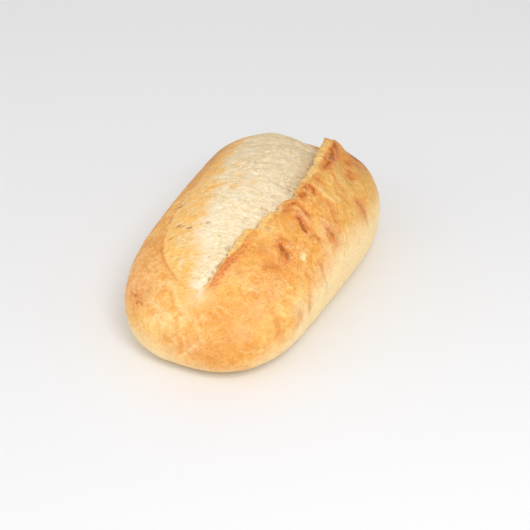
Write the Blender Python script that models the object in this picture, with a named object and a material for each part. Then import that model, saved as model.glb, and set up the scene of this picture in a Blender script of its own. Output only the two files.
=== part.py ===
"""An oblong Tuscan hearth loaf, opened by one long slash.

The crust's right lip lifts into a ragged ear that peaks near the far end, beside the pale bloom
of dough that swelled through the cut. The whole loaf is one solid.

Metres, +Z up. The loaf lies along Y with its near end at -Y and the ear on the +X side of the
slash, and it rests on z = 0. Lengths below are in millimetres, and MM turns them into metres.
A share of the half length, from -1 at the near end to 1 at the far end, is called a station.
"""

import math

import bmesh
import bpy
from mathutils import Vector, noise

MM = 0.001

# Driving dimensions of the baked loaf, without its ear.
LENGTH = 240.0
WIDTH = 141.0
CROWN_HEIGHT = 80.0
WAIST_HEIGHT = 30.0  # where the loaf is widest
SOLE_HANG = 1.12  # depth of the lower half below the waist, as a share of what the floor left it

# Fullness is the power of a superellipse: 2 gives an ellipse, and more is blunter.
PLAN_FULLNESS = {"near left": 3.3, "near right": 3.25, "far left": 4.3, "far right": 3.15}
CROWN_FULLNESS = {"near": 1.95, "far": 2.75}
UPPER_FULLNESS = 2.2
LOWER_FULLNESS = 3.0
SOLE_FULLNESS = 4.5
WIDENING = 0.066  # how much wider than its middle the loaf is at the far end, as a share
CROWN_DROP = 0.032  # how much lower than its middle the crown is at the far end, as a share

# The slash, as (place along Y, value) keys.
TEAR_X = (
    (-120.0, 0.0),
    (-98.0, 7.5),
    (-82.0, 9.5),
    (-70.0, 11.8),
    (-58.0, 13.2),
    (-49.0, 13.2),
    (-44.5, 15.0),
    (-41.0, 20.3),
    (-36.0, 21.0),
    (-30.0, 20.2),
    (-22.0, 23.3),
    (-18.0, 26.2),
    (-11.0, 25.2),
    (-5.0, 25.6),
    (0.0, 29.8),
    (7.0, 28.3),
    (21.0, 27.6),
    (44.0, 26.2),
    (55.0, 24.1),
    (70.0, 21.7),
    (82.0, 21.0),
    (104.0, 16.0),
    (120.0, 0.0),
)
EAR_HEIGHT = (
    (-97.0, 0.0),
    (-80.0, 1.6),
    (-60.0, 3.2),
    (-30.0, 4.6),
    (0.0, 5.6),
    (35.0, 6.6),
    (60.0, 8.6),
    (74.0, 11.0),
    (81.0, 13.0),
    (88.0, 10.0),
    (96.0, 4.0),
    (104.0, 0.0),
)
FULL_EAR = 4.0  # height of ear from which its lip overhangs fully
EAR_SPREAD = ((-90.0, 10.0), (-40.0, 24.0), (30.0, 20.0), (75.0, 7.0))
VALLEY_DEPTH = (
    (-100.0, 0.0),
    (-80.0, 1.2),
    (-40.0, 2.4),
    (0.0, 3.2),
    (40.0, 5.5),
    (75.0, 9.0),
    (95.0, 9.0),
    (106.0, 8.5),
    (116.0, 0.0),
)
VALLEY_SPREAD = 19.0
BLOOM_EDGE_X = (
    (-99.0, 2.0),
    (-94.0, -13.0),
    (-87.0, -23.0),
    (-80.0, -31.0),
    (-69.0, -38.0),
    (-44.0, -45.0),
    (0.0, -49.0),
    (50.0, -50.0),
    (90.0, -48.0),
    (104.0, -36.0),
)
BLOOM_STEP = 1.5  # how far the crust stands over the bloom where the two tore apart
BLOOM_STEP_REACH = 5.0

# The lifted lip in cross-section, from the valley's side to the crust's: distance across from the
# tear, sideways reach, and the shares of the ear's height and of the valley's depth.
LIP = (
    (-3.2, 0.0, 0.0, 1.0),
    (-1.8, 1.8, 0.0, 1.05),
    (-0.8, 2.0, 0.2, 0.5),
    (0.4, -1.4, 0.5, 0.0),
    (1.6, -2.0, 0.78, 0.0),
    (4.5, -0.5, 1.0, 0.0),
    (8.5, 0.0, 0.9, 0.0),
)
TORN_ROWS = (-0.8, 4.5)  # the part of the lip whose edge is torn ragged
EAR_UNEVENNESS = 0.2  # rise and fall of the ear, as a share of its height
EDGE_UNEVENNESS = 1.5  # how far the torn edge strays to either side
UNEVEN_LENGTH = 9.0

# Low relief of the skin: (height, length of a swell).
SWELLS = ((1.3, 42.0), (0.45, 13.0))
SOLE_FADE = 8.0  # height above the oven floor where the relief is whole

# Baked swellings, blisters and dents: (x, y, radius, height).
BLISTERS = (
    (-32.0, 90.0, 24.0, 2.4),
    (38.0, 97.0, 11.0, 1.8),
    (40.0, 1.0, 6.0, 1.5),
    (45.0, -14.0, 5.0, -1.0),
    (59.0, 0.0, 6.0, 1.0),
    (42.0, -40.0, 6.0, -0.9),
    (30.0, 22.0, 5.0, 1.4),
    (28.5, 11.0, 4.5, 1.4),
    (45.0, 62.0, 7.0, -0.9),
    (62.0, 50.0, 7.0, -0.8),
    (41.0, -58.0, 7.0, -0.6),
    (-40.0, -104.0, 8.0, -1.2),
)

# Mesh.
RINGS = 64
SKIN_COLUMNS = 84
END_CROWDING = 2.5  # power that draws the rings together towards the ends
COLUMN_CROWDING = 0.45  # how far the columns draw together towards the tear, as a share
LEAST_RADIUS = 35.0  # radius below which the lip's columns draw together

CRUST_COLOUR = (0.80, 0.43, 0.15, 1.0)
CRUST_ROUGHNESS = 0.62


def smooth(share):
    """Zero to one with level ends."""
    share = min(max(share, 0.0), 1.0)
    return share * share * (3.0 - 2.0 * share)


def mix(low, high, share):
    """The value at a share of the way from low to high."""
    return low + (high - low) * share


def bell(distance, spread):
    """One at the middle, falling away evenly on both sides."""
    return math.exp(-((distance / spread) ** 2))


def dome(share, fullness):
    """Height of a superellipse above a share of its half width."""
    return max(1.0 - abs(share) ** fullness, 0.0) ** (1.0 / fullness)


def curve(keys, place):
    """A smooth curve through (place, value) keys, level beyond its ends."""
    if place <= keys[0][0]:
        return keys[0][1]
    if place >= keys[-1][0]:
        return keys[-1][1]
    index = max(i for i, key in enumerate(keys[:-1]) if key[0] <= place)
    before, after = keys[max(index - 1, 0)], keys[min(index + 2, len(keys) - 1)]
    (start, low), (end, high) = keys[index], keys[index + 1]
    span = end - start
    t = (place - start) / span
    leaving = (high - before[1]) / (end - before[0]) * span
    arriving = (after[1] - low) / (after[0] - start) * span
    rest = 1.0 - t
    return (
        low * (1.0 + 2.0 * t) * rest * rest
        + high * (1.0 + 2.0 * rest) * t * t
        + leaving * t * rest * rest
        - arriving * t * t * rest
    )


def half_width(station, angle):
    """Half the loaf's width at a station, which differs a little from side to side."""
    nearness = smooth(0.5 - station)
    rightness = smooth(0.5 + math.cos(angle) / 2.0)
    near = mix(PLAN_FULLNESS["near left"], PLAN_FULLNESS["near right"], rightness)
    far = mix(PLAN_FULLNESS["far left"], PLAN_FULLNESS["far right"], rightness)
    widening = 1.0 + WIDENING * station
    return WIDTH / 2.0 * widening * dome(station, mix(far, near, nearness))


def body_point(station, angle):
    """A point of the risen loaf before its slash opened, by station and angle up from +X."""
    side, rise = math.cos(angle), math.sin(angle)
    if rise > 0.0:
        nearness = smooth(0.5 - station)
        fullness = UPPER_FULLNESS
        crown = CROWN_HEIGHT * (1.0 - CROWN_DROP * station) - WAIST_HEIGHT
        reach = crown * dome(station, mix(CROWN_FULLNESS["far"], CROWN_FULLNESS["near"], nearness))
    else:
        fullness = LOWER_FULLNESS
        reach = WAIST_HEIGHT * SOLE_HANG * dome(station, SOLE_FULLNESS)
    radius = (abs(side) ** fullness + abs(rise) ** fullness) ** (-1.0 / fullness)
    return Vector(
        (
            half_width(station, angle) * radius * side,
            LENGTH / 2.0 * station,
            max(WAIST_HEIGHT + reach * radius * rise, 0.0),
        )
    )


def outward(point):
    """Rough outward direction of the loaf's surface at a point."""
    height = CROWN_HEIGHT - WAIST_HEIGHT if point.z > WAIST_HEIGHT else WAIST_HEIGHT
    return Vector(
        (
            point.x / (WIDTH / 2.0) ** 2,
            point.y / (LENGTH / 2.0) ** 2,
            (point.z - WAIST_HEIGHT) / height**2,
        )
    ).normalized()


def relief(point):
    """Height of the skin's swells and blisters at a point."""
    height = sum(size * noise.noise(point / length) for size, length in SWELLS)
    if point.z > WAIST_HEIGHT:
        for x, y, radius, rise in BLISTERS:
            height += rise * bell(math.hypot(point.x - x, point.y - y), radius)
    return height * smooth(point.z / SOLE_FADE)


def bloom_drop(point):
    """How far the bloom lies below the crust's torn left edge."""
    inside = point.x - curve(BLOOM_EDGE_X, point.y)
    within = smooth((point.y - BLOOM_EDGE_X[0][0]) / BLOOM_STEP_REACH)
    within *= smooth((BLOOM_EDGE_X[-1][0] - point.y) / BLOOM_STEP_REACH)
    if inside < 0.0 or point.z < WAIST_HEIGHT:
        return 0.0
    return BLOOM_STEP * within * smooth(inside) * math.exp(-inside / BLOOM_STEP_REACH)


def lip_share(column, across):
    """One column of the LIP table at a distance across from the tear."""
    return curve([(row[0], row[column]) for row in LIP], across)


def opened(point, across):
    """The point once the slash has opened, lifting the crust's lip beside the bloom's valley."""
    ear = curve(EAR_HEIGHT, point.y)
    ear *= 1.0 + EAR_UNEVENNESS * noise.noise(Vector((point.y / UNEVEN_LENGTH, 0.0, 7.0)))
    valley = curve(VALLEY_DEPTH, point.y)
    openness = smooth(ear / FULL_EAR)
    reach = lip_share(1, across)
    if TORN_ROWS[0] < across < TORN_ROWS[1]:
        reach += EDGE_UNEVENNESS * noise.noise(Vector((point.y / UNEVEN_LENGTH, 0.0, 3.0)))
    lift, fall = lip_share(2, across), lip_share(3, across)
    if across > LIP[-1][0]:
        lift *= bell(across - LIP[-1][0], curve(EAR_SPREAD, point.y))
    elif across < LIP[0][0]:
        fall *= bell(across - LIP[0][0], VALLEY_SPREAD)
        fall += bloom_drop(point) / max(valley, BLOOM_STEP)
    return point + Vector((reach * openness, 0.0, ear * lift - valley * fall))


def tear_angle(station):
    """Angle up from +X at which the tear runs."""
    share = curve(TEAR_X, LENGTH / 2.0 * station) / half_width(station, math.pi / 2.0)
    share = min(max(share, -0.5), 0.5)
    return math.atan2(dome(share, UPPER_FULLNESS), share)


def ring_places(station):
    """(angle, distance across from the tear) of each column: the lip, then round the loaf."""
    tear = tear_angle(station)
    step = 0.01
    speed = (body_point(station, tear + step) - body_point(station, tear - step)).length / (2.0 * step)
    speed = max(speed, LEAST_RADIUS)
    places = [(tear - row[0] / speed, row[0]) for row in LIP]
    start, end = places[-1][0], places[0][0] - math.tau
    angles = []
    for index in range(1, SKIN_COLUMNS):
        share = index / SKIN_COLUMNS
        share -= COLUMN_CROWDING * math.sin(math.tau * share) / math.tau
        angles.append(mix(start, end, share))
    steps = [start, *angles, end]
    points = [body_point(station, angle) for angle in steps]
    gone = [0.0]
    for a, b in zip(points, points[1:]):
        gone.append(gone[-1] + (b - a).length)
    for angle, far in zip(angles, gone[1:]):
        rightwards, leftwards = far + LIP[-1][0], far - gone[-1] + LIP[0][0]
        places.append((angle, rightwards if rightwards < -leftwards else leftwards))
    return places


def ring(station):
    """The points of one cross-section of the finished loaf."""
    points = []
    for angle, across in ring_places(station):
        skin = body_point(station, angle)
        points.append(opened(skin, across) + outward(skin) * relief(skin))
    return points


def stations():
    """Stations of the rings, drawn together towards the ends."""
    found = []
    for index in range(1, RINGS + 1):
        turn = math.pi * (index / (RINGS + 1) - 0.5)
        side, along = math.cos(turn), math.sin(turn)
        radius = (abs(side) ** END_CROWDING + abs(along) ** END_CROWDING) ** (-1.0 / END_CROWDING)
        found.append(radius * along)
    return found


def loaf_mesh():
    """The loaf's closed skin, centred over the origin."""
    mesh = bmesh.new()
    rings = [[mesh.verts.new(point * MM) for point in ring(station)] for station in stations()]
    near = mesh.verts.new(body_point(-1.0, 0.0) * MM)
    far = mesh.verts.new(body_point(1.0, 0.0) * MM)
    for first, second in zip(rings, rings[1:]):
        for index in range(len(first)):
            mesh.faces.new((first[index - 1], first[index], second[index], second[index - 1]))
    for index in range(len(rings[0])):
        mesh.faces.new((rings[0][index], rings[0][index - 1], near))
        mesh.faces.new((rings[-1][index - 1], rings[-1][index], far))
    bmesh.ops.recalc_face_normals(mesh, faces=mesh.faces)
    for axis in (0, 1):
        places = [vertex.co[axis] for vertex in mesh.verts]
        middle = (min(places) + max(places)) / 2.0
        for vertex in mesh.verts:
            vertex.co[axis] -= middle
    made = bpy.data.meshes.new("loaf")
    mesh.to_mesh(made)
    mesh.free()
    return made


def crust_material():
    """Golden, dull crust."""
    material = bpy.data.materials.new("golden_crust")
    material.use_nodes = True
    shader = material.node_tree.nodes["Principled BSDF"]
    shader.inputs["Base Color"].default_value = CRUST_COLOUR
    shader.inputs["Roughness"].default_value = CRUST_ROUGHNESS
    shader.inputs["Metallic"].default_value = 0.0
    return material


def main():
    """Clears the scene and bakes the loaf."""
    for old in list(bpy.data.objects):
        bpy.data.objects.remove(old)
    mesh = loaf_mesh()
    mesh.shade_smooth()
    mesh.materials.append(crust_material())
    loaf = bpy.data.objects.new("loaf", mesh)
    bpy.context.collection.objects.link(loaf)


main()
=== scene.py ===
"""A hearth-baked Tuscan loaf, with its torn ear, pale bloom and browned crust.

Laid out as an add-on and run as a script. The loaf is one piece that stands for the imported
solid: the same risen body and opened slash, made fine enough for the skin's own relief.
Lengths are in millimetres until the mesh is made, and "across" is a distance over the skin
from the tear, towards the ear's crust when above zero and towards the bloom when below.
"""

import math
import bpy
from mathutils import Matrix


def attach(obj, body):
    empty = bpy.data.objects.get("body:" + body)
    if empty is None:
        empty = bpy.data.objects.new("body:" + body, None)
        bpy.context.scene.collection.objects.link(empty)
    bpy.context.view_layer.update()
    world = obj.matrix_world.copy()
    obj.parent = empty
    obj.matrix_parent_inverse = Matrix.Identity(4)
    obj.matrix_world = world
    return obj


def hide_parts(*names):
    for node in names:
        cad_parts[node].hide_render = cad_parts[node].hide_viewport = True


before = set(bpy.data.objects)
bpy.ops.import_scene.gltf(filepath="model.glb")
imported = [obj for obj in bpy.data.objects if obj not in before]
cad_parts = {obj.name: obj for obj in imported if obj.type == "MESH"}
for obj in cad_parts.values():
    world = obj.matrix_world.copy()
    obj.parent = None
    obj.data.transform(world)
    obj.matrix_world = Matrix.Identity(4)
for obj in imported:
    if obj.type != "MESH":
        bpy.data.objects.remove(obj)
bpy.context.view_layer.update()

from types import SimpleNamespace

import bpy
import numpy as np
from bpy.props import FloatProperty, FloatVectorProperty, IntProperty, PointerProperty
from mathutils import Vector, noise

bl_info = {
    "name": "Tuscan hearth loaf",
    "version": (1, 0, 0),
    "blender": (4, 5, 0),
    "location": "View3D > Sidebar > Bakery",
    "description": "Bakes a slashed Tuscan loaf with a torn ear and sets its studio",
    "category": "Object",
}

MM = 0.001

# The risen body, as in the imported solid.
LENGTH = 240.0
WIDTH = 141.0
CROWN_HEIGHT = 80.0
WAIST_HEIGHT = 30.0
SOLE_HANG = 1.12
PLAN_FULLNESS = {"near left": 3.3, "near right": 3.25, "far left": 4.3, "far right": 3.15}
CROWN_FULLNESS = {"near": 1.95, "far": 2.75}
UPPER_FULLNESS = 2.2
LOWER_FULLNESS = 3.0
SOLE_FULLNESS = 4.5
WIDENING = 0.066
CROWN_DROP = 0.032

# The opened slash: where the tear runs, how high its ear stands and how far that slopes out, as
# (place along the loaf, value) keys.
TEAR_X = (
    (-120, 0), (-98, 7.5), (-82, 9.5), (-70, 11.8), (-58, 13.2), (-49, 13.2), (-44.5, 15), (-41, 20.3),
    (-36, 21), (-30, 20.2), (-22, 23.3), (-18, 26.2), (-11, 25.2), (-5, 25.6), (0, 29.8), (7, 28.3),
    (21, 27.6), (44, 26.2), (55, 24.1), (70, 21.7), (82, 21), (104, 16), (120, 0),
)
EAR_HEIGHT = (
    (-97, 0), (-80, 1.6), (-60, 3.2), (-30, 4.6), (0, 5.6), (35, 6.6), (60, 8.6), (74, 11), (81, 13),
    (88, 10), (96, 4), (104, 0),
)
FULL_EAR = 4.0
PEAK_Y = 80.0
EAR_SPREAD = ((-90, 10), (-40, 24), (30, 20), (75, 7))
VALLEY_DEPTH = (
    (-100, 0), (-80, 1.2), (-40, 2.4), (0, 3.2), (40, 5.5), (75, 9), (95, 9), (106, 8.5), (116, 0),
)
VALLEY_SPREAD = 19.0
BLOOM_EDGE_X = (
    (-99, 2), (-94, -13), (-87, -23), (-80, -31), (-69, -38), (-44, -45), (0, -51), (50, -56), (90, -52),
    (108, -42), (115, -26),
)
# How far the bloom lies below the crust's torn left edge, and how far in that step is felt.
BLOOM_STEP = 1.5
BLOOM_STEP_REACH = 5.0
# The lip from the bloom to the crust: (place across, shift sideways, share of the ear's height, share
# of the valley's depth).
LIP = (
    (-3.2, 0, 0, 1), (-1.8, 1.8, 0, 1.05), (-0.8, 2, 0.2, 0.5), (0.4, -1.4, 0.5, 0), (1.6, -2, 0.78, 0),
    (4.5, -0.5, 1, 0), (8.5, 0, 0.9, 0),
)
# The lip is torn between these distances across, and its edge and ear are uneven.
TORN_ROWS = (-0.8, 4.5)
EAR_UNEVENNESS = 0.2
EDGE_UNEVENNESS = 1.5
UNEVEN_LENGTH = 9.0
# Swells of the whole skin (height, length), and single blisters and dents (x, y, radius, rise).
SWELLS = ((1.3, 42.0), (0.45, 13.0))
SOLE_FADE = 8.0
BLISTERS = (
    (-32, 90, 24, 2.4), (38, 97, 11, 1.8), (40, 1, 6, 1.5), (45, -14, 5, -1), (59, 0, 6, 1),
    (42, -40, 6, -0.9), (30, 22, 5, 1.4), (28.5, 11, 4.5, 1.4), (45, 62, 7, -0.9), (62, 50, 7, -0.8),
    (41, -58, 7, -0.6), (-40, -104, 8, -1.2),
)

# The crown's creases, blisters and flakes as seen from above, with three painted glints among them: the (x,
# y) points of each one's path, its half width, its rise and its tone, which is 1 where browned and -1 where
# pale.
CROWN_MARKS = (
    (((29, 81), (29.5, 76)), 1.5, 0, 1.25),
    (((30, 72), (31.5, 67), (33, 60)), 1.9, 0.5, 2),
    # Painted glints on the browned blisters: this mark, the next and the one at (33, 11.8), pale dots with
    # a slight rise.
    (((31, 64), (31.3, 63)), 0.7, 0.4, -0.7),
    (((31, 60), (31.4, 59.4)), 0.7, 0.4, -0.7),
    (((33.5, 56), (34, 48)), 2.2, 0.3, 1.3),
    (((34, 32), (37, 30.5)), 1.5, 0.3, 0.8),
    (((33, 15), (34, 18), (37, 18.5), (38.5, 16)), 1.6, 0.6, 1.3),
    # A painted glint, like the two above.
    (((33, 11.8), (33.4, 11)), 0.8, 0.5, -0.7),
    (((34.4, 7.2), (34.2, 4.2)), 1.7, 0.6, 1.6),
    (((30.5, -17), (30.6, -13), (31, -8), (32.4, -5)), 1.4, 0.5, 1),
    (((33.5, -3.5), (36.2, -4.5), (41, -6), (44, -6)), 1.4, 0, 1),
    (((30.5, 80), (33, 75)), 1.7, 0, 1.15),
    (((32.5, -12), (32, -16)), 1.5, 0.4, 0.7),
    (((37.8, -10), (40.6, -13)), 1.1, -1.2, 1.2),
    (((40.6, -13.2), (44.5, -15.8), (47.8, -18.5)), 1.7, -2, 1.85),
    (((49.2, -18.6), (50.4, -18.2)), 1.2, 0.3, -0.5),
    (((52.4, -19), (53.7, -16), (56.3, -14.4)), 1.2, -0.5, 0.6),
    (((35.8, -7.4), (41.4, -9.6), (46, -10.6)), 1.5, 1.5, -0.35),
    (((40, -43.5), (42, -45), (46, -48)), 2.4, -1.2, 1.5),
    (((31, -57), (33.5, -54)), 2.2, -0.2, 0.4),
    (((43, -49), (47, -54)), 2.4, -0.3, 0.5),
    (((38.5, -64), (40.5, -61), (43.5, -58.5)), 2.5, -0.4, 0.65),
    (((50.5, 18), (54.5, 13), (57.5, 11)), 1.1, -0.7, 0.55),
    (((60.7, 47.5), (64, 50), (66, 46)), 2.5, -0.6, 0.85),
    (((58.4, -2.5), (60.8, -1.8)), 2.9, -0.4, 1.15),
    (((60.5, -2), (65, -2.2)), 0.9, -0.4, 0.8),
    (((64, -28), (65.5, -29)), 1.8, -0.4, 0.8),
    (((60.6, -44.7), (61.5, -44)), 1.3, -0.3, 0.45),
    (((66, -53), (66.3, -55)), 1.6, -0.3, 0.5),
    (((64.3, -68), (64.6, -66)), 1.6, -0.3, 0.5),
    (((56.5, -88), (57.2, -86)), 1.5, -0.3, 0.4),
    (((38, 82), (40.5, 81)), 2, -1.2, 0.95),
    (((44.5, 72), (47.5, 66)), 2.3, -1.3, 0.9),
    (((36, 55), (39, 49), (43, 46), (45, 42.5), (50.5, 41.6)), 0.9, -0.9, 0.65),
    (((35.7, 22.6), (41, 21.8), (47, 22.6), (51.3, 24.5)), 1, 0.9, -0.55),
    (((37, 19), (47, 19.5), (52, 21.5)), 0.9, -0.6, 0.4),
    (((54.2, -40), (54.2, -36.6)), 1.3, 0.5, -1.6),
    (((27, -40), (29.5, -37)), 2.4, 0.2, -0.45),
    (((43.7, -41), (45, -39)), 0.7, 0.3, -0.6),
    (((48.5, -37), (48.8, -36)), 0.7, 0.3, -0.6),
    (((47.6, -46.6), (48, -46)), 0.7, 0.3, -0.6),
    (((65.6, 73.7), (66.4, 72.8)), 1.5, 1, -0.2),
    (((49, 34), (56, 36)), 1.2, -0.5, 0.35),
    (((32, -89), (36, -82)), 0.5, 0.2, -0.5),
    (((55, 12), (61, 9)), 1.6, -0.4, 0.3),
)
# Stretched threads over the near end as seen from in front: the (x, z) points of each one's path,
# its half width and its tone.
NEAR_THREADS = (
    (((-23, 59), (-14, 58), (-8, 54), (-1, 50), (5, 46)), 1.3, 0.7),
    (((-28, 48), (-19, 47), (-10, 44), (-2, 44)), 1.3, 0.6),
    (((8, 47), (12, 43), (18, 34)), 1.3, 0.5),
    (((18, 40), (12, 33), (4, 24), (-2, 17)), 1.3, 0.7),
    (((-16, 17), (-7, 16), (-3, 27), (-5, 32)), 1.2, 0.6),
    (((-2, 44), (2, 38), (4, 24)), 0.8, 0.5),
    (((5, 46), (12, 43), (18, 40)), 0.8, 0.5),
    (((-10, 44), (-8, 36), (-3, 27)), 0.8, 0.4),
    (((40, 31), (50, 27), (57, 30)), 0.8, 0.5),
    (((22, 36), (31, 39)), 0.8, 0.3),
)
# The browned strokes of the pinched corner, in the same view.
PINCH_STROKES = (
    (((-48, 43.5), (-43, 45), (-40, 43)), 1.4, 1.2),
    (((-44, 47.5), (-41, 45)), 1.2, 1),
    (((-41, 43), (-37, 44), (-34, 45)), 1.1, 0.8),
    (((-47, 40.5), (-43, 41.5)), 1, 0.7),
)
# Softer changes of tone: (x, y, z, radius, strength).
ORANGE_ZONES = (
    (32, -56, 70, 5, 0.9), (51, -30, 65, 5, 0.9), (21, -113, 44, 6, 0.8), (8, -113, 47, 5, 0.9),
    (48, 12, 68, 6, 0.9), (-18, -114, 44, 5, 0.6), (44, -67, 62, 5, 0.9), (53, -21, 65, 5, 0.8),
    (10, -120, 30, 8, 1), (43, -107, 40, 5, 1), (56, -53, 57, 5, 0.9), (47, -80, 56, 6, 0.9),
    (30, -108, 47, 6, 0.8), (24, -77, 67, 5, 1), (49, -61, 61, 6, 0.9), (5, -112, 48, 4, 0.7),
    (22, -108, 50, 12, 1), (32, -112, 40, 11, 1), (24, -117, 30, 16, 0.8), (14, -70, 71, 6, 0.8),
    (42, -20, 72, 15, 0.8), (32, -58, 70, 15, 0.7), (-33, -84, 60, 8, 0.5), (50, -40, 65, 12, 0.7),
    (-50, -60, 58, 16, 0.5), (-2, -117, 32, 10, 0.5), (48, -70, 58, 10, 0.5), (22, -119, 22, 10, 1),
    (46, -38, 67, 13, 0.8), (50, -47, 63, 8, 0.8), (16, -60, 73, 6, 0.8), (56, 13, 62, 8, 0.5),
    (60, 58, 54, 7, 0.35), (30, -104, 53, 7, 1), (45, -108, 36, 7, 0.9), (-45, -72, 57, 13, 0.75),
    (-32, -79, 62, 6, 0.8), (-36, -98, 52, 14, 0.35), (40, -101, 47, 7, 0.6), (21, -70, 70, 5, 0.8),
    (24, -62, 71, 5, 0.6), (-31, -106, 47, 7, 0.5),
)
PEACH_ZONES = (
    (39, -107, 42, 7, 0.8), (48, -74, 57, 9, 0.5), (-44, -96, 48, 17, 0.8), (20, -80, 68, 6, 0.5),
    (10, -118, 30, 9, 0.5), (45, -91, 52, 9, 0.7), (-52, -74, 52, 12, 0.4), (33, -80, 63, 8, 0.3),
    (41.5, -9.5, 72, 4, 1),
)
LIGHT_ZONES = (
    (61, -27, 56, 4, 0.8), (36, -7, 75, 3, 1.2), (38, -10.5, 74, 3, 1), (19, -64, 71, 3, 0.9),
    (28, -38, 76, 5, 1.4), (60, -56, 52, 6, 0.9), (38, -41, 71, 2.5, 0.8), (33, 41, 74, 3, 0.8),
    (55, -1, 64, 2.5, 0.9), (56, -9, 62, 4, 0.9), (30, -65, 69, 5, 1.2), (35, -65, 67, 4, 0.8),
    (-52, -31, 65, 5, 0.8), (57, 46, 60, 6, 0.8), (31, 11, 77, 3, 0.8), (36, -11, 74, 3, 1.2),
    (20, -78, 68, 7, 0.9), (-22, -116, 37, 8, 0.7), (28, -44, 75, 6, 0.6), (-45, -108, 24, 12, 0.6),
    (10, -102, 57, 8, 0.7), (-2, -101, 57, 8, 0.9), (50, -96, 42, 11, 0.6), (-30, -112, 35, 10, 0.6),
    (44, 45, 70, 8, 0.5), (52, -8, 66, 5, 0.5), (-30, -80, 63, 3, 0.4), (-10, -117, 40, 8, 0.8),
    (46, -56, 65, 5, 0.3), (58, -76, 42, 10, 0.6), (24, -84, 66, 6, 1), (17, -92, 63, 6, 0.8),
    (37, -11, 74, 4, 0.7), (22, -50, 75, 4, 0.8), (33, -46, 74, 6, 0.8), (0, -115, 40, 6, 0.8),
)
PALE_ZONES = (
    (62, -66, 41, 7, 0.6), (63, -12, 54, 7, 0.5), (-16, -117, 38, 12, 0.2), (2, -103, 56, 6, 0.3),
    (56, -4, 62, 7, 0.4),
)
# Soft browned spots low on the right side.
FLANK_SPOTS = (
    (28, -108, 48, 5, 0.15), (68, 3, 46, 5, 0.15), (63.5, -70, 31, 3.5, 0.45), (66, -52, 42, 3, 0.3),
    (67, -34, 45, 4, 0.25), (70, -8, 43, 3, 0.2), (59, -86, 27, 3, 0.3), (70, 28, 40, 4, 0.15),
)
# Where the skin stretched into a fine pale net.
NET_ZONES = (
    (-12, -114, 44, 17, 1), (12, -110, 50, 10, 0.5), (-2, -118, 24, 12, 0.7), (-30, -100, 55, 12, 0.5),
)
# Where the bloom's toasted left side ends, and its golden flecks (x, y, radius, strength).
TOAST_EDGE_X = (
    (-97, -7), (-89, -4), (-70, -7), (-56, -18), (-32, -21), (-20, -23), (-9, -26), (-3, -25), (3, -22),
    (9, -30), (14, -42), (24, -48), (32, -50), (60, -52), (92, -50), (112, -42),
)
FLECKS = (
    (-46, 11, 4, 0.6), (-38, 7, 4, 0.45), (-30, 2, 4, 0.35), (-50, 4, 3, 0.5), (-16, -2, 3.4, 1.6),
    (-15, 4, 2.6, 1.2), (-10, 10, 1.8, 0.8), (-30, 31, 2.6, 0.8), (13, 30, 2.4, 0.8), (-12, 64, 2.2, 0.7),
    (-25, 74, 2, 0.7), (-12, -1, 1.8, 0.8), (-20, 0, 1.8, 0.8), (-28, 12, 1.6, 0.6), (-5, 10.5, 1.6, 0.8),
    (-20, 12, 2.4, 0.8), (-24, 4, 2.2, 0.8), (-22, 20, 2.2, 0.8), (-18, 25, 1.8, 0.7), (-9, 33, 1.6, 0.6),
    (-45, -4.5, 1.5, 0.9), (-39, -4, 1.5, 0.9), (-33, -2.5, 1.5, 0.9), (-10, 47, 1.6, 0.5),
    (-2, 14, 1.5, 0.5), (0, 79, 1.6, 0.5),
)
# The bloom's larger pores (x, y, radius, depth).
PORES = (
    (-47.5, -23.5, 2.6, 1.1), (-46, -20.5, 1.4, 0.7), (-36, -48.5, 1.8, 1.2), (-32.5, -49, 1.4, 0.8),
    (-26.5, -50.5, 1.7, 1.2), (-36.5, -61.5, 1.4, 1), (-38, -70, 1, 0.8), (-15, -44, 1.4, 0.8),
    (-42, -31, 1.2, 0.9), (0, -92, 1, 0.2), (-20, -62, 1, 0.5), (4, -40, 0.9, 0.5), (7, -30, 0.9, 0.5),
)
# Where the bloom turned softly golden (x, y, radius, strength).
GOLDEN_CLOUDS = (
    (-14, 3, 8, 0.6), (-24, 8, 7, 0.5), (-6, 10, 6, 0.5), (-22, 18, 7, 0.4), (-30, 30, 8, 0.25),
    (-41, 20, 8, 1),
)
# Paler bulges of the bloom's far part, where its far colour and painted shade are lifted (x, y, radius,
# strength).
FAR_BULGES = ((4, 62, 11, 1), (12, 51, 7, 1), (12, 78, 7, 0.6), (-30, 26, 8, 0.5))
# Where the bloom's strands bend round a bulge (x, y, radius, how far they bend).
SWIRLS = (
    (-1, 0, 7, 4), (-13, 52, 9, 3.5), (4, 28, 8, -3), (-22, -35, 9, 2.5), (-28, 60, 9, 3), (8, 66, 9, 3),
)
# How far right the bloom's near tip reaches, as (place along the loaf, x) keys.
TIP_X = ((-99, 1), (-95.5, 4.6), (-91.5, 7), (-86, 14), (-80, 60))
# Where the pale right side begins, as (place along the loaf, height) keys.
FLANK_TOP = ((-84, 18), (-76, 32), (-64, 43), (-48, 49), (-28, 54), (-5, 58), (25, 55), (50, 53), (80, 50))
# Where the paler foot begins, as (place across the loaf, height) keys; its paleness is partly painted
# bounce light.
FOOT_TOP = ((-60, 34), (-25, 37), (-6, 31), (8, 25), (40, 25), (52, 34), (66, 40))
# How far across the torn edge reaches, up to the browned line that borders it.
TORN_REACH = (
    (-97, 0.6), (-80, 1.4), (-70, 2.6), (-62, 4.4), (-48, 5), (-36, 5.6), (-24, 4.6), (-10, 3), (0, 2.4),
    (12, 2.6), (22, 4.6), (50, 5), (80, 6.5), (96, 4),
)
# Where the painted shade beside the slash reaches further over the bloom (x, y, radius, strength).
PAINTED_SHADE_POCKETS = (
    (20, 20, 7, 0.6), (16, -17, 4, 0.35), (18, 38, 5, 0.35), (19, -5, 5, 0.3), (8, -61, 3.5, 0.45),
    (8, -81, 3, 0.55), (2, 110, 7, 0.4),
)
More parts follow.
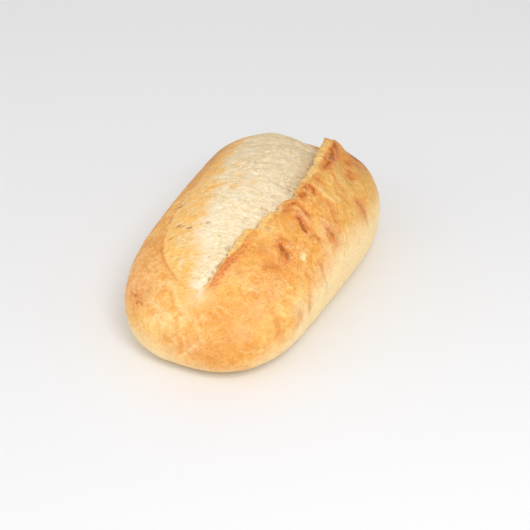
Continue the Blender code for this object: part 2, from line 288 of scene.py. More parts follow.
# The pinched corner of the near left, the wrinkled skin beside it, and the two ends of the seam below
# the slash's near tip.
PINCH = (-40.5, -104.4, 45.7)
WRINKLED_ZONES = ((-46, -85, 54, 24, 1),)
SEAM_START = (4.5, -96, 61)
SEAM_END = (7, -107, 54)

# How the points are spread: the lip's bands of columns lie between these distances across, and the
# sole gets a share of the columns that the rest does.
LIP_BANDS = (-12.0, -3.4, 5.4, 14.0)
SOLE_SHARE = 0.22
LEAST_RADIUS = 35.0
OUTLINE_POWER = 2.5
WIDTH_WEIGHT = 0.6
OUTLINE_STEPS = 20001
SWEEP_STEPS = 1500

# The studio. The floor is in metres, the camera's aim and its sensor in millimetres. A light has its
# azimuth and elevation in degrees, its distance and size in metres, and its share of a power.
FLOOR_REACH = 3.0
CAMERA_AIM = (6.07, 4.54, 13.5)
SENSOR_WIDTH = 36.0
LIGHTS = (
    ("key_light", 42.0, 50.0, 1.3, 0.5, "key_power", 1.0),
    ("fill_light", -40.0, 40.0, 1.5, 1.1, "fill_power", 1.0),
    ("low_left_light", -50.0, 10.0, 1.4, 0.8, "low_power", 1.0),
    ("low_right_light", 85.0, 10.0, 1.4, 0.8, "low_power", 1.0),
    ("low_near_light", 15.0, 5.0, 1.4, 0.8, "low_power", 0.6),
)


# ---------------------------------------------------------------- numbers over the skin

def smooth(share):
    """Zero to one with level ends."""
    share = np.clip(share, 0, 1)
    return share * share * (3 - 2 * share)


def ramp(value, low, high):
    """Zero at low and one at high, which may be the lesser of the two, with level ends."""
    return smooth((value - low) / (high - low))


def mix(low, high, share):
    """The value at a share of the way from low to high."""
    return low + (high - low) * share


def bell(distance, spread):
    """One at the middle, falling away evenly on both sides."""
    return np.exp(-((distance / spread) ** 2))


def dome(share, fullness):
    """Height of a superellipse above a share of its half width."""
    return np.maximum(1 - np.abs(share) ** fullness, 0) ** (1 / fullness)


def curve(keys, place):
    """A smooth curve through (place, value) keys, level beyond its ends."""
    at = np.array([key[0] for key in keys], float)
    value = np.array([key[1] for key in keys], float)
    place = np.clip(place, at[0], at[-1])
    index = np.clip(np.searchsorted(at, place, side="right") - 1, 0, len(at) - 2)
    before, after = np.maximum(index - 1, 0), np.minimum(index + 2, len(at) - 1)
    low, high, span = value[index], value[index + 1], at[index + 1] - at[index]
    t = (place - at[index]) / span
    leaving = (high - value[before]) / (at[index + 1] - at[before]) * span
    arriving = (value[after] - low) / (at[after] - at[index]) * span
    rest = 1 - t
    return (
        low * (1 + 2 * t) * rest * rest
        + high * (1 + 2 * rest) * t * t
        + leaving * t * rest * rest
        - arriving * t * t * rest
    )


def grain(x, y, z):
    """Smooth noise, between about -1 and 1, at each of many places."""
    x, y, z = np.broadcast_arrays(x, y, z)
    places = np.stack((x.ravel(), y.ravel(), z.ravel()), axis=1).tolist()
    return np.array([noise.noise(place) for place in places]).reshape(x.shape)


def spots(marks, x, y):
    """How strongly each place lies in any of the (x, y, radius, strength) marks."""
    total = np.zeros_like(x)
    for at_x, at_y, radius, strength in marks:
        total = np.maximum(total, strength * bell(np.hypot(x - at_x, y - at_y), radius))
    return total


# ---------------------------------------------------------------- the loaf's body

def half_width(station, angle):
    """Half the loaf's width at a station, which differs a little from side to side."""
    nearness = smooth(0.5 - station)
    rightness = smooth(0.5 + np.cos(angle) / 2)
    near = mix(PLAN_FULLNESS["near left"], PLAN_FULLNESS["near right"], rightness)
    far = mix(PLAN_FULLNESS["far left"], PLAN_FULLNESS["far right"], rightness)
    return WIDTH / 2 * (1 + WIDENING * station) * dome(station, mix(far, near, nearness))


def body_points(station, angle):
    """The risen loaf before its slash opened, by station and angle up from +X."""
    side, rise = np.cos(angle), np.sin(angle)
    upper = rise > 0
    fullness = np.where(upper, UPPER_FULLNESS, LOWER_FULLNESS)
    crown = CROWN_HEIGHT * (1 - CROWN_DROP * station) - WAIST_HEIGHT
    crown = crown * dome(station, mix(CROWN_FULLNESS["far"], CROWN_FULLNESS["near"], smooth(0.5 - station)))
    reach = np.where(upper, crown, WAIST_HEIGHT * SOLE_HANG * dome(station, SOLE_FULLNESS))
    radius = (np.abs(side) ** fullness + np.abs(rise) ** fullness) ** (-1 / fullness)
    x = half_width(station, angle) * radius * side
    y = LENGTH / 2 * station + np.zeros_like(x)
    z = np.maximum(WAIST_HEIGHT + reach * radius * rise, 0)
    return np.stack((x, y, z), axis=-1)


def outward(points):
    """Rough outward direction of the loaf's surface."""
    height = np.where(points[..., 2] > WAIST_HEIGHT, CROWN_HEIGHT - WAIST_HEIGHT, WAIST_HEIGHT)
    way = np.stack(
        (
            points[..., 0] / (WIDTH / 2) ** 2,
            points[..., 1] / (LENGTH / 2) ** 2,
            (points[..., 2] - WAIST_HEIGHT) / height**2,
        ),
        axis=-1,
    )
    return way / np.linalg.norm(way, axis=-1, keepdims=True)


def even_stations(count):
    """Stations spaced evenly along the loaf's outline as seen from above."""
    turn = np.linspace(-math.pi / 2, math.pi / 2, OUTLINE_STEPS)[1:-1]
    power = OUTLINE_POWER
    radius = (np.cos(turn) ** power + np.abs(np.sin(turn)) ** power) ** (-1 / power)
    station = radius * np.sin(turn)
    width = half_width(station, 0)
    steps = np.hypot(np.diff(station) * LENGTH / 2, np.diff(width) * WIDTH_WEIGHT)
    gone = np.concatenate(([0], np.cumsum(steps)))
    return np.interp(np.linspace(0, gone[-1], count + 2)[1:-1], gone, station)


def lip_places(fine, medium):
    """Distances across of the lip's own columns, from the bloom's side to the crust's."""
    bands = zip(LIP_BANDS, LIP_BANDS[1:], (medium, fine, medium))
    return np.concatenate([np.arange(start, end, step) for start, end, step in bands])


def column_grid(station, columns, fine, medium):
    """Angle and distance across of every column of every ring."""
    lip = lip_places(fine, medium)
    share = curve(TEAR_X, LENGTH / 2 * station) / half_width(station, math.pi / 2)
    share = np.clip(share, -0.5, 0.5)
    tear = np.arctan2(dome(share, UPPER_FULLNESS), share)
    step = 0.01
    stride = body_points(station, tear + step) - body_points(station, tear - step)
    speed = np.maximum(np.linalg.norm(stride, axis=-1) / (2 * step), LEAST_RADIUS)
    lip_angles = tear[:, None] - lip[None, :] / speed[:, None]
    way = np.linspace(0, 1, SWEEP_STEPS)
    angles, across = [], []
    for row, places in enumerate(lip_angles):
        start, end = places[-1], places[0] - math.tau
        sweep = mix(start, end, way)
        weight = mix(1, SOLE_SHARE, ramp(-np.sin(sweep), 0.45, 0.75))
        gone = np.concatenate(([0], np.cumsum(weight[1:])))
        turn = np.interp(np.linspace(0, gone[-1], columns + 1)[1:-1], gone, sweep)
        walk = body_points(station[row], np.concatenate(([start], turn, [end])))
        far = np.concatenate(([0], np.cumsum(np.linalg.norm(np.diff(walk, axis=0), axis=-1))))
        rightwards, leftwards = far[1:-1] + lip[-1], far[1:-1] - far[-1] + lip[0]
        nearer = np.where(rightwards < -leftwards, rightwards, leftwards)
        angles.append(np.concatenate((places, turn)))
        across.append(np.concatenate((lip, nearer)))
    return np.array(angles), np.array(across)


class Loaf:
    """The loaf's skin as rings of points, with what the relief and the colours need to know."""

    def __init__(self, rings, columns, fine, medium):
        self.station = even_stations(rings)
        self.angle, self.across = column_grid(self.station, columns, fine, medium)
        self.body = body_points(self.station[:, None], self.angle)
        self.x, self.y, self.z = (self.body[..., axis] for axis in range(3))
        self.upper = ramp(self.z - WAIST_HEIGHT, -4, 4)
        self.ear = curve(EAR_HEIGHT, self.y)
        self.find_bloom()
        self.find_flow()

    def find_bloom(self):
        """Where the bloom lies: left of the tear, inside the crust's torn left edge."""
        far = ramp(self.y, -30, 10)
        wander = 0.9 * grain(self.y / 5, 2, 5) + 2.5 * far * grain(self.y / 16, 8, 1)
        self.inside = self.x - curve(BLOOM_EDGE_X, self.y) + wander
        first, last = BLOOM_EDGE_X[0][0], BLOOM_EDGE_X[-1][0]
        rounding = 0.018 * (self.x + 8) ** 2 + 4 * self.patches(7, 71)
        ends = smooth((self.y - first) / 4) * smooth((last - rounding - self.y) / 6)
        left = ramp(self.across, -0.6, -1.2) * (self.across < 0)
        tip = smooth((curve(TIP_X, self.y) - self.x + 0.6 * wander) / 1.2)
        self.bloom = smooth(self.inside / mix(1.6, 7, far)) * left * ends * tip * self.upper
        self.crust = 1 - self.bloom

    def find_flow(self):
        """How far along and how far aside each point lies in the arching strands of the bloom."""
        from_middle = self.x + 15
        arch = 0.45 * from_middle - 0.006 * from_middle**2
        drift = 3.2 * grain(self.x / 15, self.y / 16, 3) + 1.3 * self.patches(5, 5)
        for x, y, radius, bend in SWIRLS:
            drift = drift + bend * bell(np.hypot(self.x - x, self.y - y), radius)
        self.flow = (self.x + 0.4 * self.y, self.y - arch + drift)

    def lumps(self, size):
        """Smooth noise whose lumps are about a size across."""
        return grain(self.x / size, self.y / size, self.z / size)

    def patches(self, size, layer):
        """Smooth noise that is the same at every height. Each layer has its own pattern."""
        return grain(self.x / size, self.y / size, layer)

    def near_patches(self, size, layer):
        """Smooth noise that is the same all along the loaf."""
        return grain(self.x / size, self.z / size, layer)

    def fibres(self, length, width, layer):
        """Smooth noise drawn out along the bloom's strands."""
        run, side = self.flow
        return grain(run / length, side / width, layer)

    def far_from(self, place):
        """How far each point of the risen body is from a place."""
        return np.linalg.norm(self.body - np.array(place), axis=-1)

    def coarse_relief(self):
        """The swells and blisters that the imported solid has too."""
        height = sum(size * self.lumps(length) for size, length in SWELLS)
        above = self.z > WAIST_HEIGHT
        for x, y, radius, rise in BLISTERS:
            height = height + above * rise * bell(np.hypot(self.x - x, self.y - y), radius)
        return height * smooth(self.z / SOLE_FADE)

    def step_down(self):
        """How far the bloom lies below the crust's torn left edge."""
        first, last = BLOOM_EDGE_X[0][0], BLOOM_EDGE_X[-1][0]
        ends = smooth((self.y - first) / BLOOM_STEP_REACH) * smooth((last - self.y) / BLOOM_STEP_REACH)
        inside = np.maximum(self.inside, 0)
        drop = BLOOM_STEP * ends * smooth(inside / 1.5) * np.exp(-inside / BLOOM_STEP_REACH)
        return drop * mix(0.65, 0.2, ramp(self.y, -45, -10)) * (self.z > WAIST_HEIGHT)

    def opened(self):
        """The skin once the slash has opened, lifting the crust's lip beside the bloom's valley."""
        across, y = self.across, self.y
        lip_start, lip_end = LIP[0][0], LIP[-1][0]
        ear = self.ear * (1 + EAR_UNEVENNESS * grain(y / UNEVEN_LENGTH, 0, 7))
        reach, lift, fall = (curve([(row[0], row[c]) for row in LIP], across) for c in (1, 2, 3))
        torn = smooth((across - TORN_ROWS[0]) / 0.8) * smooth((TORN_ROWS[1] - across) / 2.5)
        teeth = 0.7 * np.tanh(4 * grain(y / 3.4, across / 9, 4))
        teeth = teeth + 0.5 * np.tanh(3 * grain(y / 1.7, across / 3, 9))
        ragged = EDGE_UNEVENNESS * grain(y / UNEVEN_LENGTH, 0, 3)
        ragged = ragged + teeth * mix(0.3, 1.1, smooth(0.5 + 1.4 * grain(y / 13, 6, 2)))
        crumbs = 0.08 * grain(y / 3, across / 4, 14) + 0.07 * grain(y / 1.4, across / 1.4, 2)
        reach = reach + torn * ragged
        lift = lift + torn * crumbs
        tip = bell(y - PEAK_Y, 6) * ramp(across, -0.8, 0.4)
        peaked = mix(lift, 1, 0.9 * tip) - 0.17 * tip * bell(across - 4.4, 1.5)
        spread = mix(curve(EAR_SPREAD, y), 4, bell(y - PEAK_Y, 9))
        lift = np.where(across < lip_end, peaked, lift)
        lift = np.where(across > lip_end, lift * bell(across - lip_end, spread), lift)
        sinking = fall * bell(across - lip_start, VALLEY_SPREAD)
        fall = curve(VALLEY_DEPTH, y) * np.where(across < lip_start, sinking, fall)
        fall = fall + np.where(across < lip_start, self.step_down(), 0)
        shift = np.zeros_like(self.body)
        shift[..., 0] = reach * smooth(self.ear / FULL_EAR)
        shift[..., 2] = ear * lift - fall
        return self.body + shift + outward(self.body) * self.coarse_relief()[..., None]


def normals(points):
    """Outward direction of each point of the rings, from its neighbours."""
    along = np.gradient(points, axis=0)
    around = np.roll(points, -1, axis=1) - np.roll(points, 1, axis=1)
    way = np.cross(around, along)
    length = np.linalg.norm(way, axis=-1, keepdims=True)
    return way / np.maximum(length, 1e-9)


# ---------------------------------------------------------------- fine relief and baking

def path_distance(x, y, path):
    """How far each place is from a path's nearest point, both as seen from one side."""
    least = np.full(x.shape, np.inf)
    for (start_x, start_y), (end_x, end_y) in zip(path, path[1:]):
        run_x, run_y = end_x - start_x, end_y - start_y
        along = ((x - start_x) * run_x + (y - start_y) * run_y) / (run_x**2 + run_y**2)
        along = np.clip(along, 0, 1)
        least = np.minimum(least, np.hypot(x - start_x - along * run_x, y - start_y - along * run_y))
    return least


def zones(marks, loaf):
    """How strongly each place lies in any of the (x, y, z, radius, strength) marks."""
    total = np.zeros_like(loaf.x)
    for *place, radius, strength in marks:
        total = np.maximum(total, strength * bell(loaf.far_from(place), radius))
    return total


def crown_marks(loaf):
    """Height, browning, warmth and pale tone of the crown's creases, blisters, flakes and painted glints.
    """
    x = loaf.x + 0.9 * loaf.patches(3.2, 3) + 0.4 * loaf.patches(1.4, 5)
    y = loaf.y + 0.9 * loaf.patches(3.2, 13) + 0.4 * loaf.patches(1.4, 15)
    height, brown, warm, pale = (np.zeros_like(x) for _ in range(4))
    uneven = 1 + 0.7 * loaf.patches(4, 23)
    for path, half_width, rise, tone in CROWN_MARKS:
        far = path_distance(x, y, path) * uneven
        core, halo = bell(far, half_width), bell(far, 2 * half_width)
        height = height + 0.65 * rise * core
        brown = np.maximum(brown, tone * (0.85 * core + 0.15 * halo))
        warm = np.maximum(warm, 0.7 * tone * halo)
        pale = np.maximum(pale, -tone * core)
    brown = brown * (1 - 0.9 * np.clip(pale, 0, 1))
    brown = brown * (0.85 + 0.6 * loaf.patches(2.6, 33) + 0.4 * loaf.patches(1.3, 37))
    over = loaf.upper * (loaf.across > 0)
    return height * over, brown * over, warm * over, pale * over


def near_strokes(loaf, strokes):
    """How strongly each place of the near end lies in any of the listed strokes, from 0 to 1."""
    x = loaf.x + loaf.near_patches(5, 21) + 0.6 * loaf.near_patches(1.8, 25)
    z = loaf.z + loaf.near_patches(5, 31) + 0.6 * loaf.near_patches(1.8, 35)
    total = np.zeros_like(x)
    for path, half_width, tone in strokes:
        total = np.maximum(total, tone * bell(path_distance(x, z, path), half_width))
    broken = 0.5 + 0.5 * smooth(0.5 + 1.6 * loaf.lumps(3.5))
    return total * broken * ramp(loaf.y, -88, -96) * loaf.crust


def web(loaf):
    """A fine broken net of paler skin, from 0 to 1."""
    x, y, z = loaf.x, loaf.y, loaf.z
    warp = 3 * loaf.lumps(9)
    first = grain((x + warp) / 11, (y - warp) / 16, (z + warp) / 9 + 3)
    second = grain((x - warp) / 5.5 + 5, y / 7.5, (z - warp) / 5.5)
    threads = np.maximum(bell(first, 0.06), 0.6 * bell(second, 0.07))
    return threads * smooth(0.2 + 1.3 * grain(x / 13 + 7, y / 13, z / 13)) * loaf.crust


def strands(loaf, sizes):
    """Stretched strands and soft furrows of dough across the bloom."""
    furrows = loaf.fibres(20, 7, 41) * mix(0.4, 1.5, ramp(loaf.y, -20, 30))
    coarse, medium = loaf.fibres(8.5, 3.6, 11), loaf.fibres(3.6, 1.9, 17)
    lumps = loaf.fibres(2.6, 2.4, 23)
    patchy = 0.65 + 0.7 * smooth(0.5 + 1.2 * loaf.fibres(16, 10, 27))
    calm = 1 - 0.8 * toasting(loaf)
    height = 2 * furrows + patchy * (0.9 * coarse + 0.3 * medium + 0.5 * lumps)
    return calm * sizes.strand_depth / MM * height


def pore_field(loaf):
    """Depth of the bloom's large and small pores, longer across the loaf than along it."""
    total = np.zeros_like(loaf.x)
    ragged = 0.5 * loaf.patches(1.6, 9)
    for x, y, radius, depth in PORES:
        near = np.hypot((loaf.x - x) / 1.7, loaf.y - y - 0.35 * (loaf.x - x)) + ragged
        total = np.maximum(total, depth * bell(near, 0.55 * radius))
    small = ramp(loaf.fibres(2.6, 1.3, 31), 0.58, 0.7)
    return total * loaf.upper, small * loaf.bloom * ramp(loaf.y, 20, -40)


def folds(loaf):
    """Creases that run down the crust from the ear's foot."""
    across = np.maximum(loaf.across, 0)
    band = ramp(across, 6, 14) * ramp(across, 66, 36) * ramp(loaf.y, -15, 15)
    lean = loaf.y + 0.3 * across + 5 * loaf.patches(17, 6)
    broad, narrow = grain(across / 45, lean / 8, 2), grain(across / 20, lean / 4, 8)
    return band * (0.6 * broad + 0.35 * narrow)


def pinch(loaf):
    """Wrinkles drawn towards the pinched corner on the near left, and the small pit they end in."""
    far = loaf.far_from(PINCH)
    rings = np.cos(far * math.tau / 3.6 + 3.5 * loaf.lumps(5))
    return 0.2 * rings * bell(far, 9) - 0.5 * bell(far, 2.6)


def left_wrinkles(loaf):
    """Fine wrinkles that run down the near left of the crust."""
    turn = np.arctan2(loaf.y + 60, loaf.x) * 60
    lines = grain(turn / 2.2 + 1.5 * loaf.lumps(9), loaf.z / 14, 3)
    return lines * zones(WRINKLED_ZONES, loaf) * loaf.crust


def stretched_rays(loaf):
    """Streaks of stretched skin that run out over the near end from the slash's tip, about -1 to 1."""
    x, y, z = (loaf.body[..., axis] - SEAM_START[axis] for axis in range(3))
    far = loaf.far_from(SEAM_START)
    turn = np.arctan2(x, -y - z) + (0.16 * loaf.lumps(9) + 0.05 * loaf.patches(3, 85))
    lines = 1.3 * grain(14 * turn, far / 15, 81) + 0.5 * grain(31 * turn, far / 9, 83)
    reach = ramp(far, 3, 11) * ramp(far, 58, 24) * ramp(loaf.y, -78, -90)
    return lines * reach * loaf.crust


def seam(loaf):
    """The short pale seam that runs on down from the slash's near tip, and the glow round it."""
    start, end = np.array(SEAM_START, float), np.array(SEAM_END, float)
    way = end - start
    along = np.clip(((loaf.body - start) @ way) / (way @ way), 0, 1)
    far = np.linalg.norm(loaf.body - start - along[..., None] * way, axis=-1)
    wander = 0.9 * grain(loaf.x / 2.5, loaf.z / 3, 2) + 0.5 * grain(loaf.x / 1.2, loaf.z / 1.4, 4)
    core = bell(far + 1.4 * wander, mix(2.2, 1, smooth(along / 0.25))) * (0.75 - 0.6 * along)
    halo = bell(loaf.far_from(mix(start, end, 0.3)) + 1.5 * wander, 6.5)
    return core, halo


def near_crease(loaf):
    """The browned crease where the ear's skin first lifts, beside the torn edge, and its glow."""
    x, y = loaf.x, loaf.y
    wander = 0.6 * loaf.patches(2, 6) + 0.5 * loaf.patches(5, 9)
    aside = loaf.across - curve(TORN_REACH, y) + wander
    fade = ramp(y, -95, -91) * ramp(y, -38, -56)
    broken = smooth(0.75 + 1.2 * grain(x / 2, y / 3, 16))
    core = bell(aside - 3 + 2.2 * wander, 0.9) * ramp(y, -84, -76) * ramp(y, -52, -60)
    crease = np.maximum(bell(aside - 0.4, 0.8) * 0.8, core) * fade * broken
    streaks = 0.8 + 0.8 * grain((x + y) / 1.6, (x - y) / 4, 26) + 0.5 * loaf.patches(2.4, 27)
    outer = 0.6 * ramp(aside - 1.5 * wander, 7, 3.5) + 0.4 * ramp(aside - 2.5 * wander, 11, 3)
    glow = ramp(aside, -0.6, 0.4) * outer * fade * streaks
    return crease, glow * mix(1.15, 0.45, ramp(y, -70, -58))


def slot_and_painted_shade(loaf):
    """The gap between the bloom and the torn edge: its core, carved a little into the bloom and painted as
    a dark shadow line, and its softer painted shade.
    """
    across, y = loaf.across, loaf.y
    far = ramp(y, 5, 55)
    gaps = mix(0.35, 0.75, ramp(y, -60, -20))
    broken = smooth(gaps + 1.8 * grain(y / 3.2, loaf.x / 3.2, 36))
    core = bell(across + 2.4, mix(0.8, 1.2, ramp(y, -60, -10))) * broken
    core = core * mix(0.8, 1, ramp(y, -85, -55))
    shade = bell(across + 2, mix(2.4, 5.5, far)) * mix(0.12, 0.3, far)
    pockets = spots(PAINTED_SHADE_POCKETS, loaf.x, y) * smooth(0.6 + 1.6 * loaf.patches(3, 46))
    opened = ramp(y, -96, -88) * ramp(y, 108, 98)
    return core * opened, (shade * opened + pockets) * (across < 1)


def pale_side_and_bounce_light(loaf):
    """How little the right side and the foot of the loaf browned, from 0 to 1; on the foot this is partly
    painted bounce light.
    """
    x, y, z = loaf.x, loaf.y, loaf.z
    wander = 2.5 * loaf.lumps(9) + 1.5 * grain(x / 3.5, y / 3.5, z / 6)
    flank = ramp(curve(FLANK_TOP, y) + wander - z, -6, 20) * ramp(x, 36, 58)
    broad = 8 * grain(x / 45, y / 38, z / 45 + 5) * ramp(y, -75, -45)
    # The foot: partly its own paler bake and partly painted light bounced up from the floor.
    foot = ramp(curve(FOOT_TOP, x) + wander + broad - z, 0, 24)
    far_rim = ramp(y + 2 * wander, 76, 102) * ramp(x, 25, 33)
    return np.maximum.reduce((flank * (1 - far_rim), 0.9 * foot, zones(PALE_ZONES, loaf)))


def browned_shoulder_and_rim_shade(loaf):
    """How deeply the far end's shoulder and the left side's far part browned, with soft edges, and painted
    shade on the far right rim.
    """
    x, y = loaf.x, loaf.y
    wander = 5 * loaf.lumps(14) + 2.5 * loaf.lumps(5)
    left = 0.6 * ramp(x, -50, -60) * ramp(y, 10, 50)
    bloom_rim = 0.27 * ramp(x, -39, -51) * ramp(y, 4, 24) * ramp(y, 100, 70)
    # The far right rim: partly browned crust and partly painted shade darkening the edge.
    right = (0.75 * ramp(y, 72, 90) + 0.7 * ramp(y, 89, 98)) * bell(x - 38, 15)
    end = 0.3 * ramp(y, 98, 112) * loaf.crust
    patchy = 0.85 + 0.6 * loaf.lumps(8)
    return np.maximum.reduce((left, bloom_rim, right, end)) * ramp(loaf.z + wander, 38, 60) * patchy


def fine_relief(loaf, sizes):
    """Height of the skin's own texture, in millimetres."""
    across, crust = loaf.across, loaf.crust
    large, small = pore_field(loaf)
    marks, brown, _, _ = crown_marks(loaf)
    crease, _ = near_crease(loaf)
    gap, _ = slot_and_painted_shade(loaf)
    seam_core, _ = seam(loaf)
    bubbles = ramp(loaf.lumps(2.4), 0.4, 0.7)
    torn = ramp(across, -1.2, -0.4) * ramp(across, 4.6, 2.6) * smooth(loaf.ear / 2)
    crumbs = loaf.lumps(2) + 0.8 * loaf.lumps(1)
    wrinkles = folds(loaf) + pinch(loaf) + 0.3 * left_wrinkles(loaf)
    height = loaf.bloom * strands(loaf, sizes) - 0.9 * large - sizes.pore_depth / MM * small - 0.8 * gap
    height = height + crust * loaf.upper * wrinkles + marks
    height = height + crust * sizes.skin_depth / MM * (1.2 * bubbles + loaf.lumps(4.6))
    height = height + 0.3 * near_strokes(loaf, NEAR_THREADS) + 0.1 * web(loaf) - 0.6 * seam_core
    height = height - 0.7 * crease + 0.25 * brown * grain(loaf.x / 1.5, loaf.y / 1.5, loaf.z / 1.5 + 6)
    height = height - 0.5 * near_strokes(loaf, PINCH_STROKES)
    height = height + torn * sizes.tear_depth / MM * crumbs
    return height * ramp(loaf.z, 0.3, 2.3)


def toasting(loaf):
    """How golden the bloom's left side baked, from 0 to 1, ending in streaks."""
    x, y = loaf.x, loaf.y
    fringe = 4.5 * loaf.fibres(10, 5, 51) + 2.5 * loaf.fibres(4, 2.5, 53)
    inside = curve(TOAST_EDGE_X, y) + fringe - x
    spread = mix(15, 20, ramp(y, -5, 15))
    patchy = 0.95 + 0.3 * loaf.fibres(9, 7, 57) + 0.2 * loaf.fibres(2.6, 2.4, 59)
    rim = 0.5 * bell(loaf.inside - 2, 5) * ramp(y, -45, -65)
    left = smooth(inside / spread + 0.45) * np.clip(patchy, 0, 1) + rim
    far_edge = -36 + 8 * bell(y - 20, 13) + 1.2 * fringe
    far_rim = smooth((far_edge - x) / 14) * ramp(y, 4, 18)
    clouds = spots(GOLDEN_CLOUDS, x, y) * smooth(0.6 + 1.5 * loaf.fibres(5, 3, 63))
    return np.maximum.reduce((left, clouds, 0.95 * far_rim)) * loaf.bloom


def fleck_field(loaf):
    """Golden flecks where the bloom's own thin skin caught the heat, from 0 to 1."""
    x = loaf.x + 1.2 * loaf.patches(2.2, 61)
    y = loaf.y + 1.2 * loaf.patches(2.2, 67)
    listed = spots(FLECKS, x, y) * smooth(0.7 + 1.3 * loaf.fibres(2.4, 1.8, 71))
    dense = ramp(loaf.y, -25, 0) * ramp(loaf.y, 85, 45)
    scattered = smooth((loaf.fibres(4.5, 1.7, 73) - mix(0.5, 0.32, dense)) / 0.2)
    return np.maximum(listed, 0.55 * scattered) * loaf.bloom


def ear_crest(loaf):
    """The crest of the lifted ear, just past its torn edge."""
    beyond = loaf.across - curve(TORN_REACH, loaf.y)
    crest = ramp(beyond, -1.5, 0) * ramp(beyond, 5, 1) * ramp(loaf.y, -55, -35)
    return crest * smooth(loaf.ear / 2)


def browned_left_edge(loaf):
    """How deeply the crust browned beside the near part of the bloom's left edge."""
    y, inside = loaf.y, loaf.inside
    edge = 0.75 * bell(inside + 0.6, 0.9) * ramp(y, -66, -75)
    edge = edge + 0.3 * smooth(1 + inside / 7) * (inside < 0) * ramp(y, -45, -70)
    return edge * ramp(y, -97, -89) * (loaf.across < 0) * loaf.upper


def browned(loaf, marks, crease, glow):
    """How deeply each point browned, from the crown's marks, the creases and the warmest parts."""
    crest = 0.5 * ear_crest(loaf) * smooth(0.35 + 1.1 * loaf.patches(5, 40))
    creases = 0.3 * smooth(-folds(loaf) * 1.6 - 0.3)
    far = loaf.far_from(PINCH)
    corner = (0.7 + 0.6 * loaf.lumps(1.7)) * (0.32 * bell(far, 6) + 0.2 * bell(far, 13))
    listed = (marks, near_strokes(loaf, PINCH_STROKES), zones(FLANK_SPOTS, loaf))
    crust = np.maximum.reduce((*listed, crest, crease, 0.22 * glow, creases, corner)) * loaf.crust
    return np.maximum.reduce((crust, 0.7 * browned_left_edge(loaf), browned_shoulder_and_rim_shade(loaf)))


def pale_threads(loaf, rays, flakes_and_glints):
    """Threads of stretched skin, flakes, painted glints and a painted highlight on the torn rim, all paler
    than the crust.
    """
    # The torn rim: a paler line along the edge, partly pale crumb and partly a painted highlight on the
    # edge.
    torn_rim_and_highlight = bell(loaf.across - 0.2, 0.9) * smooth(loaf.ear / 1.5)
    torn_rim_and_highlight = torn_rim_and_highlight * smooth(0.4 + 1.5 * grain(loaf.y / 4, loaf.x / 4, 44))
    wrinkles = 0.5 * smooth(left_wrinkles(loaf) * 1.6)
    listed = near_strokes(loaf, NEAR_THREADS)
    threads = np.maximum.reduce((listed, 0.4 * web(loaf), 0.62 * smooth(rays - 0.05), wrinkles))
    return threads + flakes_and_glints + 0.5 * torn_rim_and_highlight


def baked_marks(loaf):
    """Named shares, from 0 to 1, of what the oven did at each point."""
    x, y, across, crust = loaf.x, loaf.y, loaf.across, loaf.crust
    large, small = pore_field(loaf)
    _, brown, warm, flakes_and_glints = crown_marks(loaf)
    crease, glow = near_crease(loaf)
    seam_core, seam_halo = seam(loaf)
    rays = stretched_rays(loaf)
    torn = ramp(across, -1.4, -0.9) * ramp(across - curve(TORN_REACH, y), 0.6, -0.8)
    gap, shade = slot_and_painted_shade(loaf)
    # Painted shade on the torn face of the ear's peak.
    shade = shade + 0.55 * bell(y - 81, 7) * ramp(across, -3, -1) * ramp(across, 3.8, 2)
    deep = (zones(ORANGE_ZONES, loaf), 0.3 * ear_crest(loaf), 0.9 * smooth(-rays - 0.05))
    return {
        "bloom": loaf.bloom,
        "browning": browned(loaf, brown, crease, glow),
        "paleness": pale_side_and_bounce_light(loaf),
        "toast": toasting(loaf),
        "fleck": fleck_field(loaf),
        "torn": torn * smooth(loaf.ear / 1.5),
        # Painted shadow and shade in and beside the gap along the torn edge.
        "slot_and_painted_shade": np.clip(0.9 * gap + shade, 0, 1),
        "threads": pale_threads(loaf, rays, flakes_and_glints),
        "net": zones(NET_ZONES, loaf) * crust,
        "stretched": ramp(y, -80, -96) * mix(0.4, 1, ramp(x, -35, -15)) * crust,
        "seam": seam_core + 0.45 * seam_halo * crust,
        # How deep the pores are, which also sets their painted shade.
        "pores": np.clip(large + 0.5 * small, 0, 1),
        # Towards the far end, lifted on the bloom's bulges; on the bloom this greying is partly painted
        # shade.
        "far": ramp(y, -5, 55) * (1 - 0.7 * spots(FAR_BULGES, x, y) * loaf.bloom),
        "orange": np.maximum.reduce(deep) * crust,
        "ember": np.clip(np.maximum(warm, 1.1 * glow), 0, 1) * crust,
        "peach": zones(PEACH_ZONES, loaf) * crust,
        "light": zones(LIGHT_ZONES, loaf) * crust,
        "sole": ramp(loaf.z, 1.2, 0.2),
    }


